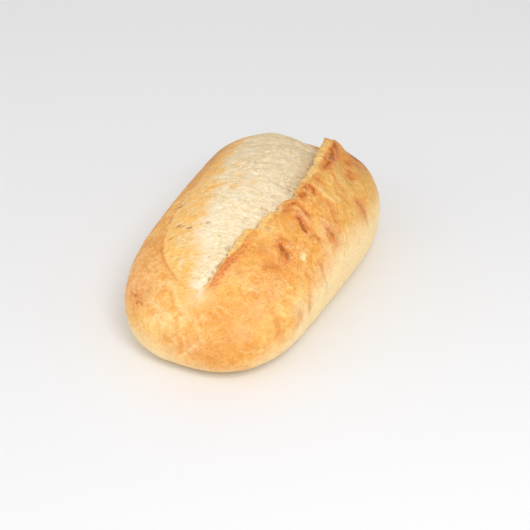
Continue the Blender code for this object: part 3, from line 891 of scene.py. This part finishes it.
def skin_mesh(name, points, ends, marks, flow):
    """A closed mesh over the rings, which carries the baked marks and the bloom's flow."""
    rings, columns = points.shape[:2]
    places = np.concatenate((points.reshape(-1, 3), ends)) * MM
    first = np.arange(columns)
    second = (first + 1) % columns
    base = (np.arange(rings - 1) * columns)[:, None]
    corners = (base + first, base + second, base + columns + second, base + columns + first)
    near_end, far_end, last = rings * columns, rings * columns + 1, (rings - 1) * columns
    near_fan = np.stack((second, first, np.full(columns, near_end)), axis=-1)
    far_fan = np.stack((last + first, last + second, np.full(columns, far_end)), axis=-1)
    faces = np.stack(corners, axis=-1).reshape(-1, 4).tolist() + near_fan.tolist() + far_fan.tolist()
    mesh = bpy.data.meshes.new(name)
    mesh.from_pydata(places.tolist(), [], faces)
    for mark, values in marks.items():
        layer = mesh.attributes.new(mark, "FLOAT", "POINT")
        end_values = (values[0].mean(), values[-1].mean())
        layer.data.foreach_set("value", np.concatenate((values.ravel(), end_values)).astype(np.float32))
    layer = mesh.attributes.new("flow", "FLOAT_VECTOR", "POINT")
    vectors = np.stack((*flow, np.zeros_like(flow[0])), axis=-1).reshape(-1, 3) * MM
    vectors = np.concatenate((vectors, vectors[:2]))
    layer.data.foreach_set("vector", vectors.ravel().astype(np.float32))
    mesh.update()
    mesh.shade_smooth()
    if mesh.validate():
        raise RuntimeError("the loaf's rings made a faulty mesh")
    return mesh


# ---------------------------------------------------------------- shader words

class Signal:
    """A shader socket that takes part in ordinary arithmetic."""

    def __init__(self, graph, socket):
        self.graph = graph
        self.socket = socket

    def maths(self, operation, *others):
        """A Math node on this value and others."""
        values = dict(enumerate((self, *others)))
        return self.graph.node("ShaderNodeMath", {"operation": operation}, values)

    def __add__(self, other):
        return self.maths("ADD", other)

    def __sub__(self, other):
        return self.maths("SUBTRACT", other)

    def __mul__(self, other):
        return self.maths("MULTIPLY", other)

    def __rsub__(self, other):
        return self.graph.node("ShaderNodeMath", {"operation": "SUBTRACT"}, {0: other, 1: self})

    __radd__ = __add__
    __rmul__ = __mul__

    def distance(self, value):
        """How far the signal is from a value."""
        return (self - value).maths("ABSOLUTE")

    def ramp(self, low, high):
        """Zero at low and one at high, with level ends."""
        values = {"Value": self, "From Min": low, "From Max": high}
        return self.graph.node("ShaderNodeMapRange", {"interpolation_type": "SMOOTHSTEP"}, values)


class Graph:
    """The nodes of one material, and the settings that its colours come from."""

    def __init__(self, name, colours):
        self.material = bpy.data.materials.new(name)
        self.material.use_nodes = True
        self.tree = self.material.node_tree
        self.shader = self.tree.nodes["Principled BSDF"]
        self.colours = colours

    def node(self, kind, settings, values, output=0):
        """Any node, from its type, its settings and the values or links of its sockets."""
        made = self.tree.nodes.new(kind)
        for name, value in settings.items():
            setattr(made, name, value)
        for name, value in values.items():
            self.feed(made.inputs[name], value)
        return Signal(self, made.outputs[output])

    def feed(self, socket, value):
        """Links a signal to a socket, or sets the socket's own value."""
        if isinstance(value, Signal):
            self.tree.links.new(value.socket, socket)
        else:
            socket.default_value = value

    def feed_shader(self, **values):
        """Feeds the shader's own sockets, whose names have underscores for their spaces."""
        for name, value in values.items():
            self.feed(self.shader.inputs[name.replace("_", " ")], value)

    def tint(self, name):
        """A named colour of the settings, as a shader socket takes it."""
        return (*getattr(self.colours, name), 1.0)

    def mark(self, name, output="Fac"):
        """A named value or vector that the mesh carries."""
        return self.node("ShaderNodeAttribute", {"attribute_name": name}, {}, output)

    def vector(self, operation, *values):
        """A Vector Math node."""
        return self.node("ShaderNodeVectorMath", {"operation": operation}, dict(enumerate(values)))

    def speckle(self, place, size, detail=3.0, roughness=0.55, distortion=0.0, stretch=None):
        """Noise whose lumps are about a size across, in metres, once the place is stretched."""
        if stretch is not None:
            place = self.vector("MULTIPLY", place, stretch)
        values = {"Vector": place, "Scale": 1.0 / size, "Detail": detail, "Roughness": roughness}
        return self.node("ShaderNodeTexNoise", {}, {**values, "Distortion": distortion})

    def cell_edges(self, place, size, reach):
        """How far each place is from the edges of cells a size across, once soft noise pushes it."""
        values = {"Vector": place, "Scale": 1.0 / reach, "Detail": 2.0}
        push = self.node("ShaderNodeTexNoise", {}, values, output="Color")
        centred = self.vector("SUBTRACT", push, (0.5,) * 3)
        values = {"Vector": self.vector("MULTIPLY_ADD", centred, (reach,) * 3, place), "Scale": 1.0 / size}
        return self.node("ShaderNodeTexVoronoi", {"feature": "DISTANCE_TO_EDGE"}, values, output="Distance")

    def blend(self, base, over, share):
        """One colour over another, by a share that the node holds between 0 and 1."""
        settings = {"data_type": "RGBA", "clamp_factor": True}
        return self.node("ShaderNodeMix", settings, {0: share, 6: base, 7: over}, output=2)

    def coats(self, base, *layers):
        """Named colours of the settings laid over one another, each by its share."""
        for name, share in layers:
            base = self.blend(base, self.tint(name), share)
        return base

    def bump(self, height, distance, strength, **normal):
        """The surface's direction with a height added, on top of another Normal if one is given."""
        values = {"Height": height, "Distance": distance, "Strength": strength, **normal}
        return self.node("ShaderNodeBump", {}, values)


# ---------------------------------------------------------------- materials

def skin_textures(g):
    """The marks and the noises that more than one layer of the skin takes, in metres."""
    place = g.node("ShaderNodeTexCoord", {}, {}, output="Object")
    flow = g.mark("flow", "Vector")
    marks = ("bloom", "browning", "paleness", "toast", "torn", "stretched", "far", "sole")
    t = SimpleNamespace(place=place, flow=flow, **{name: g.mark(name) for name in marks})
    t.cloudy = g.speckle(place, 0.022, distortion=0.8)
    t.mottled = g.speckle(place, 0.0075, detail=4.0, roughness=0.6, distortion=0.4)
    t.freckled = g.speckle(place, 0.0014, roughness=0.6)
    t.crumbly = g.speckle(place, 0.0013, detail=2.0, roughness=0.7)
    t.fibrous = g.speckle(place, 0.0012, roughness=0.6, distortion=0.8, stretch=(0.3, 0.3, 1.1))
    t.wrinkled = g.speckle(place, 0.0045, 4.0, roughness=0.6, distortion=2.2, stretch=(0.7, 1.0, 0.8))
    t.strand = g.speckle(flow, 0.0034, 5.0, roughness=0.65, distortion=1.5, stretch=(0.38, 1.0, 1.0))
    t.hair = g.speckle(flow, 0.0010, roughness=0.65, distortion=1.2, stretch=(0.35, 1.0, 1.0))
    t.tone = 0.36 * t.cloudy + 0.44 * t.mottled + 0.2 * t.wrinkled
    return t


def crust_colour(g, t):
    """The golden crust, with its lighter, deeper, rosier and paler parts."""
    return g.coats(
        g.tint("crust"),
        ("light_crust", t.tone.ramp(0.43, 0.63) * 0.8),
        ("deep_crust", (1.0 - t.tone).ramp(0.44, 0.64) * 0.8),
        ("far_crust", t.far * 0.8),
        ("light_crust", g.mark("light") * (0.2 + t.mottled * 1.4)),
        ("deep_crust", g.mark("orange") * (0.3 + t.mottled * 1.3)),
        ("peach", g.mark("peach") * (0.1 + t.mottled * 1.3)),
        ("ember", g.mark("ember") * (0.3 + t.mottled * 0.8 + t.freckled * 0.7)),
        ("pale_side_and_bounce_light", t.paleness * (0.55 + t.tone)),
    )


def light_lines(g, t, crust):
    """The crust under its fine pale veins, crinkles, net and threads, and its torn edge."""
    veined = g.speckle(t.place, 0.0065, detail=2.0, distortion=1.5).distance(0.5)
    crinkled = g.speckle(t.place, 0.003, detail=2.0, distortion=2.0).distance(0.5)
    netted = g.cell_edges(t.place, 0.0085, 0.006)
    veins = (1.0 - veined.ramp(0.0, 0.018)) * t.cloudy.ramp(0.47, 0.60) * (0.45 - 0.25 * t.stretched)
    crinkles = (1.0 - crinkled.ramp(0.0, 0.06)) * t.mottled.ramp(0.46, 0.62)
    net = (1.0 - netted.ramp(0.0, 0.15)) * g.mark("net") * t.mottled.ramp(0.40, 0.60)
    edge = g.coats(
        g.tint("torn"),
        ("thread_and_glint", t.crumbly.ramp(0.50, 0.64) * 0.5),
        ("deep_crust", (1.0 - t.crumbly).ramp(0.54, 0.70) * 0.4),
    )
    lines = (veins, crinkles * (0.35 - 0.25 * t.stretched), net * 0.6)
    crust = g.coats(crust, *(("thread_and_glint", share) for share in lines))
    crust = g.blend(crust, edge, t.torn * (0.4 + t.mottled * 0.8))
    # The threads mark also carries painted glints and the torn rim's painted highlight.
    return g.coats(crust, ("thread_and_glint", g.mark("threads") * (0.35 + t.mottled)))


def bloom_colour(g, t):
    """The opened dough: strands over folds with painted shade between them, toasted along its left side and
    flecked with gold.
    """
    folded = g.speckle(t.flow, 0.007, roughness=0.5, distortion=1.2, stretch=(0.35, 1.0, 1.0))
    combed = (0.15 + 0.6 * t.far) * (0.25 + 1.5 * t.mottled.ramp(0.42, 0.60))
    golden = 0.92 + (t.mottled - 0.5) * 1.8 + (folded - 0.5) * 1.2
    dotted = (0.6 * t.freckled + 0.4 * t.strand).ramp(0.50, 0.68) * t.mottled.ramp(0.40, 0.60)
    paler = (1.0 - t.strand).ramp(0.52, 0.66) * (1.0 - t.mottled).ramp(0.40, 0.60)
    flecked = (g.mark("fleck") + (t.freckled - 0.5) * 1.6).ramp(0.30, 1.0)
    return g.coats(
        g.tint("bloom"),
        # Greyer towards the far end, partly the crumb's tone and partly painted shade where the far end
        # turns from the light.
        ("far_bloom", t.far * (0.4 + t.cloudy)),
        ("warm_bloom", t.cloudy.ramp(0.44, 0.58) * folded.ramp(0.40, 0.60) * 0.9),
        # Painted shade in the bloom's furrows and between its strands.
        ("painted_fibre_shade", folded.ramp(0.50, 0.70) * (0.15 + 0.3 * t.far)),
        ("painted_fibre_shade", (t.strand * 0.75 + t.hair * 0.25).ramp(0.48, 0.68) * combed),
        ("fibre_light", (1.0 - t.strand).ramp(0.52, 0.62) * 0.6),
        ("fibre_light", t.mottled.ramp(0.50, 0.62) * (0.75 - 0.4 * t.far)),
        ("toast", t.toast * golden),
        ("fleck", t.toast * dotted * 0.55),
        ("warm_bloom", t.toast * paler * 0.6),
        ("fleck", flecked * t.bloom),
    )


def oven_marks(g, t, skin):
    """The skin under browned and scorched marks, painted shade in gap and pores, seam, sole and flour."""
    baked = t.browning * (0.95 + (t.mottled - 0.5) * 1.6 + (t.freckled - 0.5) * 1.2)
    scorched = t.browning * (1.0 + (t.mottled - 0.5) * 2.0 + (t.freckled - 0.5) * 1.2)
    dusted = g.speckle(t.place, 0.0016, detail=2.0).ramp(0.64, 0.74)
    return g.coats(
        skin,
        ("browned", baked),
        ("scorched", scorched.ramp(0.70, 1.35) * 0.75),
        # Painted shadow in the gap beside the torn edge, and painted shade over the bloom next to it.
        ("shade", g.mark("slot_and_painted_shade") * (0.5 + t.crumbly)),
        # Painted shade inside the pores.
        ("pore_shade", g.mark("pores") * 1.2),
        ("fibre_light", g.mark("seam") * 0.7),
        ("sole", t.sole * 0.8),
        # Floury specks, partly real dusting and partly painted glints on the crust.
        ("flour_and_glints", dusted * (1.0 - t.bloom) * 0.5),
    )


def finest_grain(g, t, skin):
    """The skin under its specks, then scaled by painted shade and light from its wrinkles and fibres."""
    dusty = g.speckle(t.place, 0.0007, detail=1.0)
    curdled = g.speckle(t.place, 0.0026, detail=2.0, roughness=0.5)
    specks = 0.3 * t.freckled + 0.3 * dusty + 0.4 * t.fibrous
    speckled = t.cloudy.ramp(0.38, 0.60) * 0.7 + 0.5
    darkness = 0.32 - 0.19 * t.bloom - 0.2 * t.paleness - 0.1 * t.stretched
    skin = g.coats(
        skin,
        ("browned", (0.5 - specks).ramp(0.0, 0.16) * speckled * darkness),
        ("flour_and_glints", (specks - 0.5).ramp(0.0, 0.16) * speckled * (0.12 - 0.02 * t.bloom)),
    )
    # Painted shade: the colour is scaled darker and lighter by the wrinkles' and the fibres' noise,
    # standing in for the shading of their relief, on top of the specks' own tone.
    depth = 0.75 - 0.75 * t.bloom - 0.3 * t.paleness - 0.35 * t.stretched
    fibres = (0.5 - t.strand) * 0.45 + (0.5 - t.hair) * 0.35 + (curdled - 0.5) * 0.35
    tone_and_painted_shade = 1.0 + (specks - 0.5) * 0.3 + (t.wrinkled - 0.5) * depth
    tone_and_painted_shade = tone_and_painted_shade + fibres * t.bloom * (0.45 + 1.1 * t.cloudy.ramp(0.42, 0.60))
    return g.node("ShaderNodeVectorMath", {"operation": "SCALE"}, {0: skin, "Scale": tone_and_painted_shade})


def skin_bump(g, t):
    """The relief that is too fine for the mesh."""
    leathery = g.bump(t.mottled, 0.0006, 0.6)
    rough_skin = t.freckled * 0.3 + t.fibrous * 0.3 + t.wrinkled * 0.7
    rough_skin = rough_skin * (1.0 - 0.8 * t.bloom - 0.4 * t.paleness - 0.3 * t.stretched)
    dough = (t.strand * 0.6 + t.hair * 0.2) * t.bloom * (1.0 - 0.6 * t.toast)
    return g.bump(rough_skin + dough + t.crumbly * t.torn, 0.0005, 0.8, Normal=leathery)


def crust_material(colours):
    """Baked crust, from pale bloom to browned ridge."""
    g = Graph("baked_crust", colours)
    t = skin_textures(g)
    skin = g.blend(light_lines(g, t, crust_colour(g, t)), bloom_colour(g, t), t.bloom)
    g.feed_shader(
        Base_Color=finest_grain(g, t, oven_marks(g, t, skin)),
        Roughness=0.44 + 0.24 * t.bloom + 0.16 * t.mottled + 0.1 * t.sole - 0.12 * t.browning,
        Normal=skin_bump(g, t),
        Subsurface_Weight=0.08,
        Subsurface_Radius=(1.0, 0.55, 0.25),
        Subsurface_Scale=0.002,
        IOR=1.31,
    )
    return g.material


def floor_material(studio):
    """A plain pale floor."""
    g = Graph("pale_floor", studio)
    g.feed_shader(Base_Color=g.tint("floor"), Roughness=0.75)
    return g.material


# ---------------------------------------------------------------- settings

def number_setting(name, description, default, **more):
    """One number that a user would change."""
    return FloatProperty(name=name, description=description, default=default, **more)


def length_setting(name, description, default):
    """One length, in metres."""
    return number_setting(name, description, default, subtype="DISTANCE", unit="LENGTH")


def power_setting(name, description, default):
    """The power of a light, in watts."""
    return number_setting(name, description, default, subtype="POWER")


def angle_setting(name, description, degrees):
    """One angle, given in degrees."""
    return number_setting(name, description, math.radians(degrees), subtype="ANGLE")


def colour_setting(name, description, default):
    """One colour, as linear red, green and blue."""
    return FloatVectorProperty(
        name=name, description=description, default=default, size=3, subtype="COLOR", min=0.0, max=1.0
    )


class LoafSizes(bpy.types.PropertyGroup):
    """Sizes of the skin's texture and how finely it is made."""

    strand_depth: length_setting("Strand depth", "Height of the bloom's stretched strands", 0.00042)
    pore_depth: length_setting("Pore depth", "Depth of the bloom's small pores", 0.0004)
    skin_depth: length_setting("Skin depth", "Height of the crust's bubbles and leathery grain", 0.00012)
    tear_depth: length_setting("Tear depth", "Height of the crumbs along the torn edge", 0.00040)
    fine_step: length_setting("Fine step", "Spacing of the points over the torn lip", 0.0005)
    medium_step: length_setting("Medium step", "Spacing of the points beside the torn lip", 0.0008)
    rings: IntProperty(name="Rings", description="Cross-sections along the loaf", default=396, min=24)
    columns: IntProperty(name="Columns", description="Points round each cross-section", default=200, min=24)


class LoafColours(bpy.types.PropertyGroup):
    """Colours of the baked dough."""

    crust: colour_setting("Crust", "The golden crust", (0.89, 0.425, 0.088))
    light_crust: colour_setting("Light crust", "Where the crust is lighter", (0.95, 0.58, 0.17))
    deep_crust: colour_setting("Deep crust", "Where the crust is deeper", (0.79, 0.31, 0.045))
    peach: colour_setting("Peach", "Where the crust is rosier", (0.93, 0.46, 0.19))
    ember: colour_setting("Ember", "Round the browned marks", (0.80, 0.265, 0.060))
    far_crust: colour_setting("Far crust", "The crust towards the far end", (0.73, 0.39, 0.072))
    browned: colour_setting("Browned", "Ridges and creases that browned", (0.59, 0.165, 0.018))
    scorched: colour_setting("Scorched", "The darkest of the browned places", (0.36, 0.095, 0.010))
    # Painted shade: the shadow in and beside the gap along the torn edge, laid into the colour.
    shade: colour_setting("Painted gap shade", "In the gap beside the torn edge", (0.38, 0.20, 0.075))
    # Partly the side's own paler bake and partly painted light bounced up from the floor onto the lower
    # rims.
    pale_side_and_bounce_light: colour_setting("Pale side", "The side that browned least", (0.94, 0.71, 0.37))
    # The pale colour of threads, flakes and the torn edge, also laid on as painted glints and a painted
    # edge highlight.
    thread_and_glint: colour_setting("Thread", "Pale threads of stretched skin", (0.98, 0.74, 0.36))
    torn: colour_setting("Torn edge", "The light band along the torn edge", (0.93, 0.59, 0.185))
    bloom: colour_setting("Bloom", "Dough that opened through the slash", (0.93, 0.775, 0.525))
    # Partly the crumb's own greyer tone and partly painted shade where the far end turns from the light.
    far_bloom: colour_setting("Far bloom", "The bloom towards its far end", (0.75, 0.58, 0.345))
    warm_bloom: colour_setting("Warm bloom", "Where the bloom is yellower", (0.92, 0.71, 0.40))
    # Painted shade between the bloom's strands and in its furrows.
    painted_fibre_shade: colour_setting("Fibre shade", "Between the bloom's strands", (0.75, 0.57, 0.34))
    fibre_light: colour_setting("Fibre light", "The palest of the bloom's strands", (0.95, 0.83, 0.60))
    toast: colour_setting("Toast", "The golden side of the bloom", (0.95, 0.53, 0.145))
    fleck: colour_setting("Fleck", "Golden flecks on the bloom", (0.84, 0.47, 0.15))
    pore_shade: colour_setting("Pore", "Inside the pores", (0.42, 0.235, 0.07))
    # Painted shade: the dark colour inside the pores stands in for the shadow in these hollows.
    sole: colour_setting("Sole", "The floury underside", (0.72, 0.48, 0.24))
    # Floury specks on the crust, partly real dusting and partly painted glints of its glossy skin.
    flour_and_glints: colour_setting("Flour", "Specks of flour", (0.98, 0.84, 0.58))


class StudioSettings(bpy.types.PropertyGroup):
    """The floor, the lights and the camera."""

    floor: colour_setting("Floor", "The plain floor's colour", (0.88, 0.88, 0.89))
    key_power: power_setting("Key light", "Power of the key light", 6.15)
    fill_power: power_setting("Fill light", "Power of the fill light", 1.9)
    low_power: power_setting("Low light", "Power of each low light", 1.6)
    sky: number_setting("Sky", "Strength of the light from all round", 0.66, min=0.0)
    focal_length: number_setting("Focal length", "The camera's lens, in millimetres", 109.8, min=10.0)
    distance: length_setting("Distance", "From the camera to the loaf", 1.183)
    azimuth: angle_setting("Azimuth", "Turn round the loaf from its near end", 24.2)
    elevation: angle_setting("Elevation", "Rise above the floor", 36.34)


# ---------------------------------------------------------------- operators

def add_object(context, name, data):
    """A new object of the scene."""
    made = bpy.data.objects.new(name, data)
    context.scene.collection.objects.link(made)
    return made


def face(holder, target, back, distance):
    """Puts a light or a camera back from what it faces."""
    holder.location = target + back * distance
    holder.rotation_euler = (-back).to_track_quat("-Z", "Y").to_euler()


def direction(azimuth, elevation):
    """Direction from the loaf, with azimuth 0 at its near end and 90 degrees at the ear's side."""
    flat = math.cos(elevation)
    return Vector((math.sin(azimuth) * flat, -math.cos(azimuth) * flat, math.sin(elevation)))


class BAKERY_OT_loaf(bpy.types.Operator):
    """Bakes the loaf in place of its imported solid."""

    bl_idname = "bakery.loaf"
    bl_label = "Bake the loaf"

    def execute(self, context):
        """Shapes the skin, centres it on its sole and gives it its crust."""
        sizes = context.scene.loaf_sizes
        loaf = Loaf(sizes.rings, sizes.columns, sizes.fine_step / MM, sizes.medium_step / MM)
        points = loaf.opened()
        middle = (points.reshape(-1, 3).min(axis=0) + points.reshape(-1, 3).max(axis=0)) / 2.0
        points = points + normals(points) * fine_relief(loaf, sizes)[..., None]
        ends = body_points(np.array((-1.0, 1.0)), np.array((0.0, 0.0)))
        shift = np.array((middle[0], middle[1], 0.0))
        mesh = skin_mesh("dressed_loaf", points - shift, ends - shift, baked_marks(loaf), loaf.flow)
        mesh.materials.append(crust_material(context.scene.loaf_colours))
        piece = add_object(context, "dressed_loaf", mesh)
        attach(piece, "root")
        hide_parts("loaf")
        return {"FINISHED"}


class BAKERY_OT_studio(bpy.types.Operator):
    """Sets the floor, the lights and the camera."""

    bl_idname = "bakery.studio"
    bl_label = "Set the studio"

    def execute(self, context):
        """Lays the floor, hangs the lights, places the camera and lights the sky."""
        studio = context.scene.studio_settings
        self.lay_floor(context, studio)
        for name, azimuth, elevation, distance, size, setting, share in LIGHTS:
            back = direction(math.radians(azimuth), math.radians(elevation))
            self.hang_light(context, name, back, distance, size, share * getattr(studio, setting))
        self.place_camera(context, studio)
        world = bpy.data.worlds.new("studio_sky")
        world.use_nodes = True
        background = world.node_tree.nodes["Background"]
        background.inputs["Color"].default_value = (1.0, 1.0, 1.0, 1.0)
        background.inputs["Strength"].default_value = studio.sky
        context.scene.world = world
        context.scene.view_settings.view_transform = "Standard"
        return {"FINISHED"}

    def lay_floor(self, context, studio):
        """One wide plain sheet under the loaf."""
        sides = ((-1, -1), (1, -1), (1, 1), (-1, 1))
        corners = [(FLOOR_REACH * x, FLOOR_REACH * y, 0.0) for x, y in sides]
        mesh = bpy.data.meshes.new("pale_floor")
        mesh.from_pydata(corners, [], [(0, 1, 2, 3)])
        mesh.materials.append(floor_material(studio))
        add_object(context, "pale_floor", mesh)

    def hang_light(self, context, name, back, distance, size, power):
        """A soft square light that faces the loaf."""
        light = bpy.data.lights.new(name, "AREA")
        light.size = size
        light.energy = power
        face(add_object(context, name, light), Vector(), back, distance)

    def place_camera(self, context, studio):
        """The camera at the angle from which the loaf is best known."""
        lens = bpy.data.cameras.new("camera")
        lens.lens = studio.focal_length
        lens.sensor_width = SENSOR_WIDTH
        camera = add_object(context, "camera", lens)
        back = direction(studio.azimuth, studio.elevation)
        face(camera, Vector(CAMERA_AIM) * MM, back, studio.distance)
        context.scene.camera = camera


class BAKERY_PT_loaf(bpy.types.Panel):
    """The loaf's settings."""

    bl_idname = "BAKERY_PT_loaf"
    bl_label = "Tuscan loaf"
    bl_space_type = "VIEW_3D"
    bl_region_type = "UI"
    bl_category = "Bakery"

    def draw(self, context):
        """Lists every setting and the two operators."""
        for name in GROUPS:
            group = getattr(context.scene, name)
            column = self.layout.column(align=True)
            for setting in group.__annotations__:
                column.prop(group, setting)
        self.layout.operator(BAKERY_OT_loaf.bl_idname)
        self.layout.operator(BAKERY_OT_studio.bl_idname)


CLASSES = (LoafSizes, LoafColours, StudioSettings, BAKERY_OT_loaf, BAKERY_OT_studio, BAKERY_PT_loaf)
GROUPS = {"loaf_sizes": LoafSizes, "loaf_colours": LoafColours, "studio_settings": StudioSettings}


def register():
    """Makes the classes known, and hangs the groups of settings on the scene."""
    for made in CLASSES:
        bpy.utils.register_class(made)
    for name, group in GROUPS.items():
        setattr(bpy.types.Scene, name, PointerProperty(type=group))


def unregister():
    """Takes it all back, in the opposite order."""
    for name in GROUPS:
        delattr(bpy.types.Scene, name)
    for made in reversed(CLASSES):
        bpy.utils.unregister_class(made)


def main():
    """Registers the add-on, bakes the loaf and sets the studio."""
    register()
    bpy.ops.bakery.loaf()
    bpy.ops.bakery.studio()


if __name__ == "__main__":
    main()
